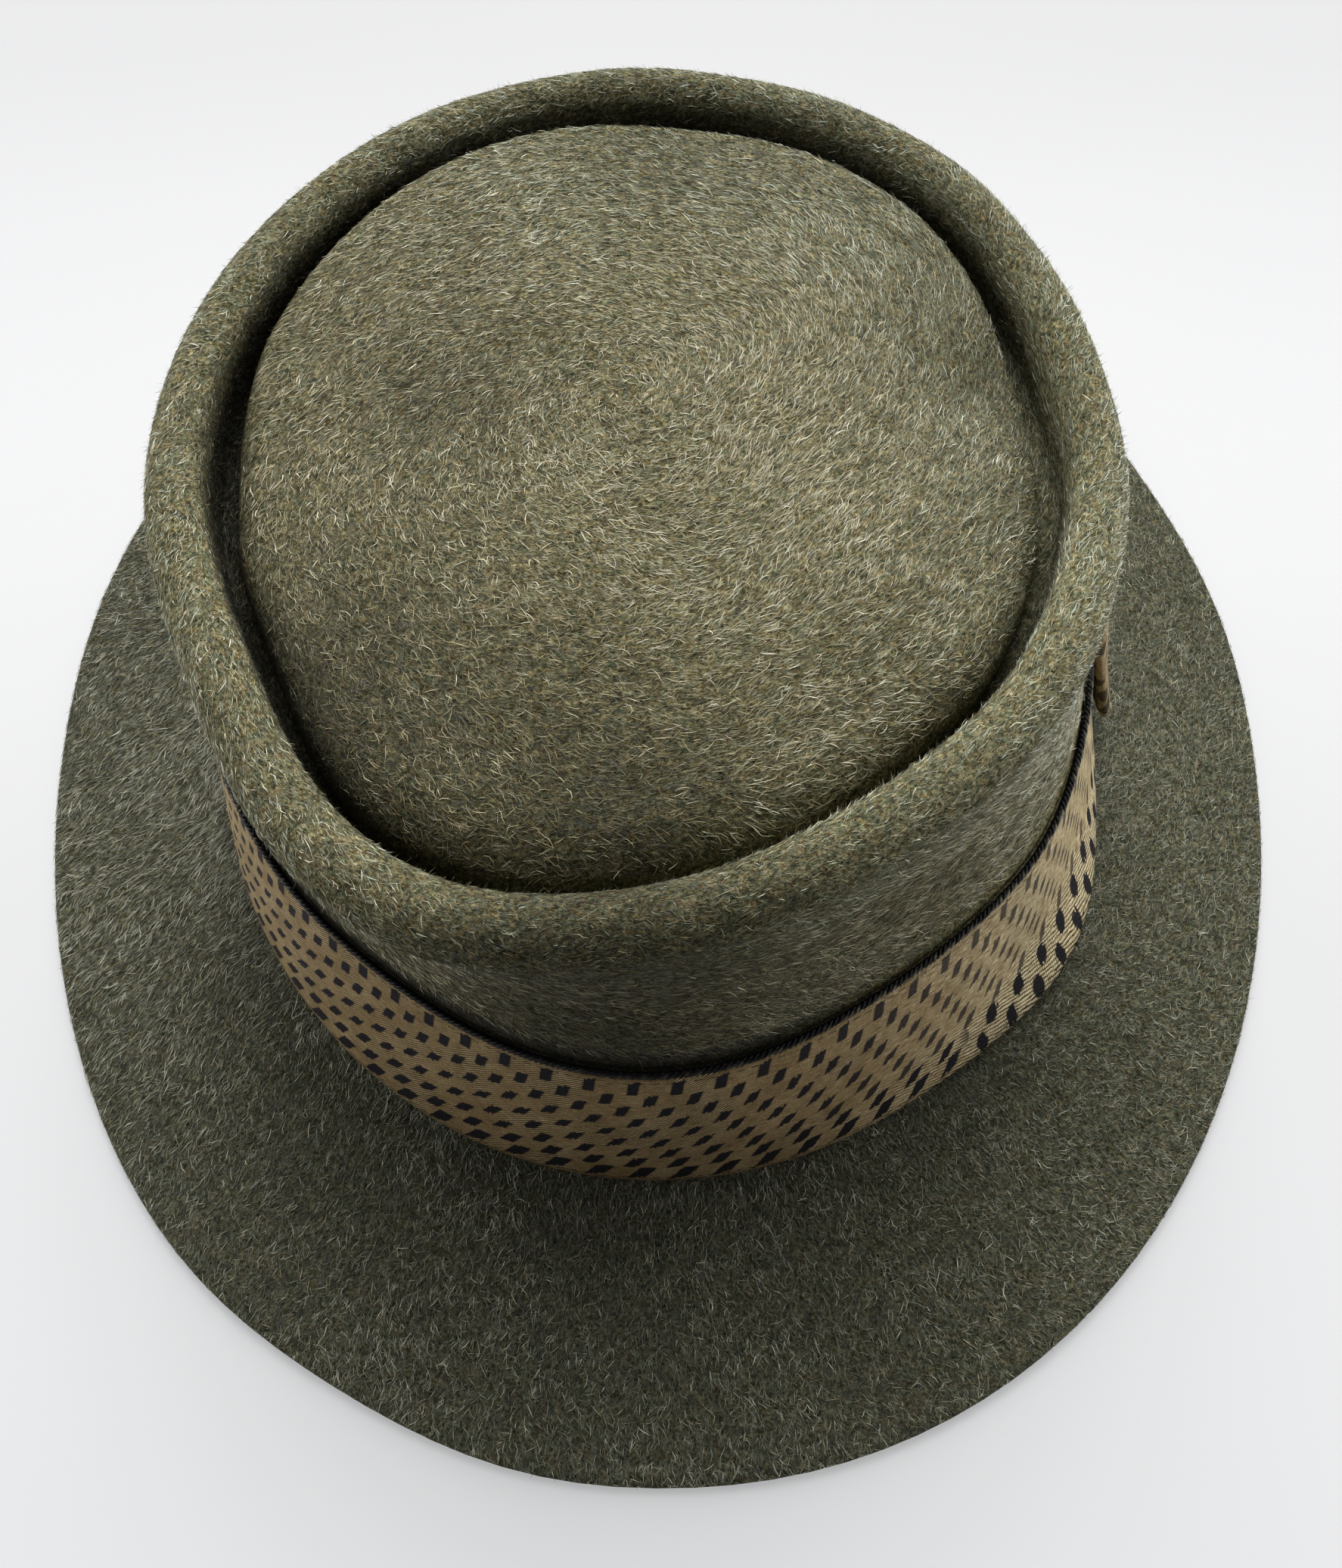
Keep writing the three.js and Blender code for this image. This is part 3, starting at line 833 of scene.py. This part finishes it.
# The woven pattern: rows of diamonds counted down from the top edge, each row set on a little from
# the one above. Lengths along the band (u) and up it (v) are in millimetres.
twill_ribbon = Finish("ribbon_twill")
band_map = twill_ribbon.node("UVMap")
band_map.uv_map = "along_band"
cloth_place = band_map.outputs[0]
u, v = [metres * 1000 for metres in twill_ribbon.split(cloth_place)[:2]]
from_top = ribbon_top - ribbon_foot - v
row_pitch, diamond_pitch, first_row_at, last_row = 4.22, 7.45, 3.4, 8
thread_width = 0.42
row_number = twill_ribbon.math("ROUND", (from_top - first_row_at) / row_pitch).at_least(0).at_most(last_row)
dv = from_top - (row_number * row_pitch + first_row_at)
row_offset = row_number * (row_number * -0.115 + 2.95)
row_lean = (row_number * 0.09 + 0.12).at_most(0.5)
du = (u - row_offset + dv * row_lean).from_nearest(diamond_pitch)
# The diamonds' edges are ragged by whole threads, and wander
thread_there = twill_ribbon.node("CombineXYZ", X=twill_ribbon.math("FLOOR", u / thread_width), Y=row_number)
random_there = twill_ribbon.node("TexWhiteNoise", Vector=thread_there.outputs[0])
random_there.noise_dimensions = "2D"
ragged = Value(twill_ribbon, random_there.outputs["Value"])
wander = twill_ribbon.noise(cloth_place, 900)
jitter = (ragged * 0.7 - 0.35) + (wander * 1.2 - 0.6)
# Diamonds are tallest in the end rows and widest at the foot
half_height = (abs(row_number - last_row / 2) / (last_row / 2)) ** 2 * 0.75 + 1.75
half_width = (row_number / last_row) ** 6 * 0.45 + 1.08
in_height = half_height + jitter - abs(dv + du * 0.35)
in_width = half_width - abs(du + jitter * 0.25)

# The cloth is palest ahead of the bow, where it also stands in coarse cream ribs, and paler on the wearer's
# right
share = u / band_length
on_bow = twill_ribbon.attribute("on_bow")
paler = (share.step(0.78, 0.89) + (1 - share.step(0, 0.10))) * (1 - on_bow)
paler_on_wearers_right = share.step(0.42, 0.50) - share.step(0.56, 0.68)
# There the diamonds are faint and narrow, and those along the flared foot are round and black
low_rows = row_number.step(6.2, 6.8)
faint = paler * (1 - low_rows)
in_width = in_width - faint * 0.14
blobbed = low_rows * share.step(0.850, 0.860)
diamond = in_height.step(-0.15, 0.35) * in_width.step(-0.15, 0.25) * (1 - faint * 0.18) * (1 - blobbed)
blob_foot, blob_rise, blob_shift = 2.4, 5.4, 3.2
blob_half_width, blob_half_height = 1.5, 2.7
blob_row = twill_ribbon.math("ROUND", ((v - blob_foot) / blob_rise).at_least(0).at_most(1))
blob_du = (u - (blob_row * blob_shift + 1)).from_nearest(diamond_pitch)
blob_dv = v - (blob_row * blob_rise + blob_foot)
across_blob = (blob_du + jitter * 0.9) / blob_half_width
up_blob = (blob_dv + jitter * 1.5) / blob_half_height
in_blob = 1 - (across_blob * across_blob + up_blob * up_blob)
diamond = diamond.at_least(in_blob.step(-0.2, 0.3) * blobbed) * (1 - on_bow * 0.2)

# The cloth itself: fine twill in patches, coarse ribs at the pale foot, slubs, and ribs on the bow
twill = ((u * 0.62 - v * 0.78) * 10.5).wave()
weft = (u * 14).wave()
knit = twill_ribbon.noise(cloth_place, 420)
rib = (v * 6.6 + (u * 2.3 + knit * 7)).wave().step(-0.95, -0.1) * 1.7 - 1.1
cloudy = twill_ribbon.noise(cloth_place, 130, 3)
worn = twill_ribbon.noise(cloth_place, 2600)
slubs = twill_ribbon.noise(twill_ribbon.vector_math("MULTIPLY", cloth_place, (500.0, 3200.0, 1.0)), 1)
patchy = twill_ribbon.noise(cloth_place, 70)
near_foot = 1 - (patchy * -14 + (v + 7)).step(8, 15)
ribbed = rib * (paler * near_foot)
twilled = patchy.step(0.46, 0.60) * 0.20 + 0.07
bow_ribs = on_bow * (u * 4.6 + v * 1.4).wave() * (v.step(26, 33) * 0.20 + 0.03)
tan_place = (cloudy * 0.45 + 0.20) + ((worn * 0.6 - 0.30) + (slubs - 0.5) * (paler * 1.1 + 0.8))
tan_place = tan_place + (twill * twilled + ribbed * 0.42)
tan_place = tan_place + (paler * 0.22 + (paler_on_wearers_right * 0.10 + (on_bow * 0.10 + bow_ribs)))
tan_colours = twill_ribbon.colour_steps(tan_place, [
    (0.00, (0.040, 0.025, 0.010)),
    (0.22, (0.132, 0.084, 0.032)),
    (0.45, (0.235, 0.163, 0.075)),
    (0.70, (0.410, 0.325, 0.180)),
    (1.00, (0.740, 0.650, 0.420)),
])
black_place = (weft * 0.16 + 0.34) + (worn * 0.8 - 0.4) + (paler_on_wearers_right * 0.35 + faint * 0.2)
black_colours = twill_ribbon.colour_steps(black_place, [
    (0.20, (0.004, 0.003, 0.005)),
    (0.55, (0.014, 0.011, 0.015)),
    (0.80, (0.050, 0.038, 0.040)),
    (1.00, (0.130, 0.100, 0.090)),
])
cloth = twill_ribbon.mixed(diamond, tan_colours, black_colours)
# A dark thread is stitched along both edges, just inside the selvage
thread_colour = (0.010, 0.008, 0.008, 1.0)
from_stitches = abs(from_top - 1.3).at_most(abs(v - 1.2))
stitch = (1 - from_stitches.step(0.06, 0.2)) * ((u * 2.6).wave().step(-0.5, 0.1) * cloudy.step(0.38, 0.5))
twill_ribbon.paint(twill_ribbon.mixed(stitch, cloth, thread_colour))
twill_ribbon.all_over(Roughness=0.7, Specular_IOR_Level=0.15)
relief = twill * (twilled * 2.5) + worn * 0.8 + (ribbed * 1.4 + slubs) + diamond * 0.4 - stitch * 1.2
twill_ribbon.bump(relief, 0.7, 0.0002)
ribbon.data.materials.append(twill_ribbon.material)

# The edging: a shiny black cord of three plies laid along the ribbon's top edge and stitched to it.
# Pale glints are painted on the plies' crests at the sides, as painted highlights.
cord_plies, ply_sides, cord_turns, steps_per_turn = 3, 5, 176, 8
ply_radius, ply_throw = 0.38, 0.38
cord_middle = ribbon_top + gap + 0.9
cord_steps = cord_turns * steps_per_turn
cord_angle = np.arange(cord_steps) / cord_steps * 2 * math.pi
cord_reach = wall(cord_angle, cord_middle) + gap + 0.7
verts, faces, painted_glints = [], [], []
painted_glint_dice = np.random.default_rng(41)
painted_glint_sides = [1, 0.7, 0, 0, 0.3]
for ply in range(cord_plies):
    twist = cord_turns * cord_angle + ply * 2 * math.pi / cord_plies
    s = cord_reach + ply_throw * 0.8 * np.cos(twist)
    z = cord_middle + ply_throw * 1.15 * np.sin(twist)
    path = np.stack([s * np.cos(cord_angle), s * np.sin(cord_angle) + hat_middle_y, z], axis=1)
    ahead = np.roll(path, -1, axis=0) - np.roll(path, 1, axis=0)
    ahead /= np.linalg.norm(ahead, axis=1, keepdims=True)
    side = np.cross(ahead, np.array([0, 0, 1.0]))
    side /= np.linalg.norm(side, axis=1, keepdims=True)
    up = np.cross(side, ahead)
    # Painted highlights: pale glints on the outward crests of the plies, at the sides and not at the front
    seen = nearness(cord_angle, 325, 42) + nearness(cord_angle, 185, 40)
    dice = np.repeat(painted_glint_dice.random(cord_steps // 2), 2)
    painted_glint = seen * (np.cos(twist) > 0.3) * smooth_between(dice, 0.5, 0.9)
    painted_glints.append(np.repeat(painted_glint, ply_sides) * np.tile(painted_glint_sides, cord_steps))
    ring = []
    for k in range(ply_sides):
        turn = k * 2 * math.pi / ply_sides
        ring.append(path + ply_radius * (math.cos(turn) * side + math.sin(turn) * up))
    first = len(verts) * cord_steps * ply_sides
    verts.append(np.stack(ring, axis=1).reshape(-1, 3))
    i, k = np.arange(cord_steps)[:, None], np.arange(ply_sides)[None]
    i_next, k_next = (i + 1) % cord_steps, (k + 1) % ply_sides
    quad = [a * ply_sides + b for a, b in ((i, k), (i_next, k), (i_next, k_next), (i, k_next))]
    faces.append(np.stack(quad, axis=-1).reshape(-1, 4) + first)
plies = bpy.data.meshes.new("cord_plies")
plies.from_pydata((np.concatenate(verts) * mm).tolist(), [], np.concatenate(faces).tolist())
painted_glint_values = np.concatenate(painted_glints).astype(np.float32)
plies.attributes.new("painted_glint", "FLOAT", "POINT").data.foreach_set("value", painted_glint_values)
bm = bmesh.new()
bm.from_mesh(plies)
bpy.data.meshes.remove(plies)
edging = finished_piece("edging_cord", bm)
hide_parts("black_edging")
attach(edging, "root")
black_cord = Finish("black_cord")
threads = black_cord.noise(black_cord.place(), 3000)
cord_colours = black_cord.colour_steps(threads, [
    (0.35, (0.0008, 0.0008, 0.0010)),
    (0.70, (0.0050, 0.0050, 0.0060)),
])
# The colour of the painted glints
painted_glint_colour = (0.22, 0.20, 0.15, 1.0)
black_cord.paint(black_cord.mixed(black_cord.attribute("painted_glint"), cord_colours, painted_glint_colour))
black_cord.all_over(Roughness=0.5, Specular_IOR_Level=0.14)
black_cord.bump(threads, 0.5, 0.00008)
edging.data.materials.append(black_cord.material)

# The bow: a length of the same ribbon folded over at both ends and laid flat against the band, and a
# short piece wrapped round its middle to hold it.
bow_at, bow_length, bow_thickness, bow_pinch = 20.2, 69, 4.2, 2.4
bow_low, bow_high = 10, 46
knot_width, knot_thickness, knot_low, knot_high = 12, 1.2, 9, 47
knot_stand_off, knot_middle = 0.75, 0.5
fold_thickness, bow_levels = 0.55, 18


def beside_band(along, z, out):
    """A place beside the band: along it from the bow's middle, at a height and a distance out."""
    turn = math.radians(bow_at) + along / float(reach("ribbon", math.radians(bow_at)))
    s = float(ribbon_side(np.array(turn), z, ribbon_thickness + gap + out))
    return (s * math.cos(turn) * mm, (s * math.sin(turn) + hat_middle_y) * mm, z * mm)


def wrap_ribbon(name, outline, low, high, closed):
    """A ribbon on edge along an outline of (along, out), extruded up its width, and its length."""
    bm = bmesh.new()
    uv = bm.loops.layers.uv.new("along_band")
    column_layer = bm.verts.layers.int.new("column")
    level_layer = bm.verts.layers.int.new("level")
    foot = []
    for column, (along, out) in enumerate(outline):
        vert = bm.verts.new((along, out, 0))
        vert[column_layer] = column
        foot.append(vert)
    edges = [bm.edges.new(pair) for pair in zip(foot, foot[1:])]
    if closed:
        edges.append(bm.edges.new((foot[-1], foot[0])))
    for level in range(1, bow_levels + 1):
        made = bmesh.ops.extrude_edge_only(bm, edges=edges)["geom"]
        for element in made:
            if isinstance(element, bmesh.types.BMVert):
                element[level_layer] = level
        edges = [element for element in made if isinstance(element, bmesh.types.BMEdge)
                 and all(vert[level_layer] == level for vert in element.verts)]
    lengths = [0]
    ends = list(outline) + [outline[0]]
    for (a, b), (c, d) in zip(ends, ends[1:]):
        lengths.append(lengths[-1] + math.hypot(c - a, d - b))
    for face in bm.faces:
        columns = [loop.vert[column_layer] for loop in face.loops]
        for loop in face.loops:
            column = loop.vert[column_layer]
            if column == 0 and max(columns) > 1:
                column = len(outline)
            height = loop.vert[level_layer] / bow_levels
            loop[uv].uv = (lengths[column] * mm, height * (high - low) * mm)
    for vert in bm.verts:
        along, out = outline[vert[column_layer]]
        share = vert[level_layer] / bow_levels
        z = low + (high - low) * share
        wavy = 0.25 * math.sin(along * 0.35 + z * 0.12)
        vert.co = beside_band(along, z, out + wavy * min(1, out / 3))
    piece = finished_piece(name, bm)
    mark = piece.data.attributes.new("on_bow", "FLOAT", "POINT").data
    mark.foreach_set("value", np.ones(len(mark), np.float32))
    piece.data.materials.append(twill_ribbon.material)
    thick = piece.modifiers.new("cloth", "SOLIDIFY")
    thick.thickness = fold_thickness * mm
    thick.offset = 0
    return piece, lengths[-1 if closed else -2]


def bow_half(along):
    pinched = float(smooth_between(abs(along), 3, 13))
    return (bow_pinch + (bow_thickness - bow_pinch) * pinched) / 2


loop_outline = []
loop_steps = 56
for k in range(loop_steps):
    turn = k / loop_steps * 2 * math.pi
    end = bow_length / 2 - fold_thickness / 2
    along = end * math.sin(turn)
    side = 1 if math.cos(turn) >= 0 else -1
    rounded = math.sqrt(max(0, 1 - abs(along / end) ** 8))
    half = bow_half(along)
    loop_outline.append((along, half + side * (half - fold_thickness / 2) * rounded))
bow, loop_run = wrap_ribbon("ribbon_bow", loop_outline, bow_low, bow_high, True)
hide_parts("bow_loop")
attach(bow, "root")

knot_back = bow_pinch + knot_stand_off
half = knot_width / 2
turned_in = [
    (half, knot_back - 1.6),
    (half + 0.1, knot_back + 0.1),
    (half * 0.85, knot_back + knot_thickness * 0.75),
]
wrap_outline = [(-along, out) for along, out in turned_in]
for share in (-0.6, -0.3, 0, 0.3, 0.6):
    wrap_outline.append((half * share, knot_back + knot_thickness + knot_middle * (1 - share**2) - 0.3))
wrap_outline += turned_in[::-1]
knot, wrap_run = wrap_ribbon("bow_wrap", wrap_outline, knot_low, knot_high, False)
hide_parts("bow_knot")
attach(knot, "root")

# The floor and the light: a pale table, daylight from all round and a broad window behind.
bpy.ops.mesh.primitive_plane_add(size=8, location=(0, 0, -0.0002))
floor = bpy.context.active_object
floor.name = "floor"
pale_table = Finish("pale_table")
# The table glows, a painted light: brighter in front of and under the hat, dimmer far behind it
away = pale_table.split(pale_table.place())[1].step(0.04, 0.26)
near_glow, far_glow = 0.37, 0.15
pale_table.all_over(Base_Color=(0.34, 0.34, 0.345, 1.0), Roughness=0.7)
pale_table.all_over(Emission_Color=(0.98, 0.99, 1.0, 1.0))
pale_table.join(away * (far_glow - near_glow) + near_glow, pale_table.surface["Emission Strength"])
floor.data.materials.append(pale_table.material)
world = bpy.data.worlds.new("daylight")
world.use_nodes = True
background = world.node_tree.nodes["Background"].inputs
background["Color"].default_value = (0.95, 0.97, 1.0, 1)
background["Strength"].default_value = 0.02
scene.world = world


def window(name, azimuth, elevation, power, size=2.0, distance=2.6):
    """A round soft light that faces the hat from a bearing and a height in degrees."""
    azimuth, elevation = math.radians(azimuth), math.radians(elevation)
    aim = Vector((0, 0, 0.05))
    level = math.cos(elevation)
    way = Vector((math.cos(azimuth) * level, math.sin(azimuth) * level, math.sin(elevation)))
    lamp = bpy.data.lights.new(name, "AREA")
    lamp.shape = "DISK"
    lamp.size = size
    lamp.energy = power
    light = bpy.data.objects.new(name, lamp)
    light.location = aim + way * distance
    light.rotation_euler = way.to_track_quat("Z", "Y").to_euler()
    scene.collection.objects.link(light)


window("skylight", 90, 60, 47)
window("rear window", 90, 35, 64)
window("rear left", 135, 15, 33)
window("rear right", 45, 15, 33)
window("left wall", 180, 15, 38)
window("right wall", 0, 15, 41)
scene.view_settings.view_transform = "Standard"
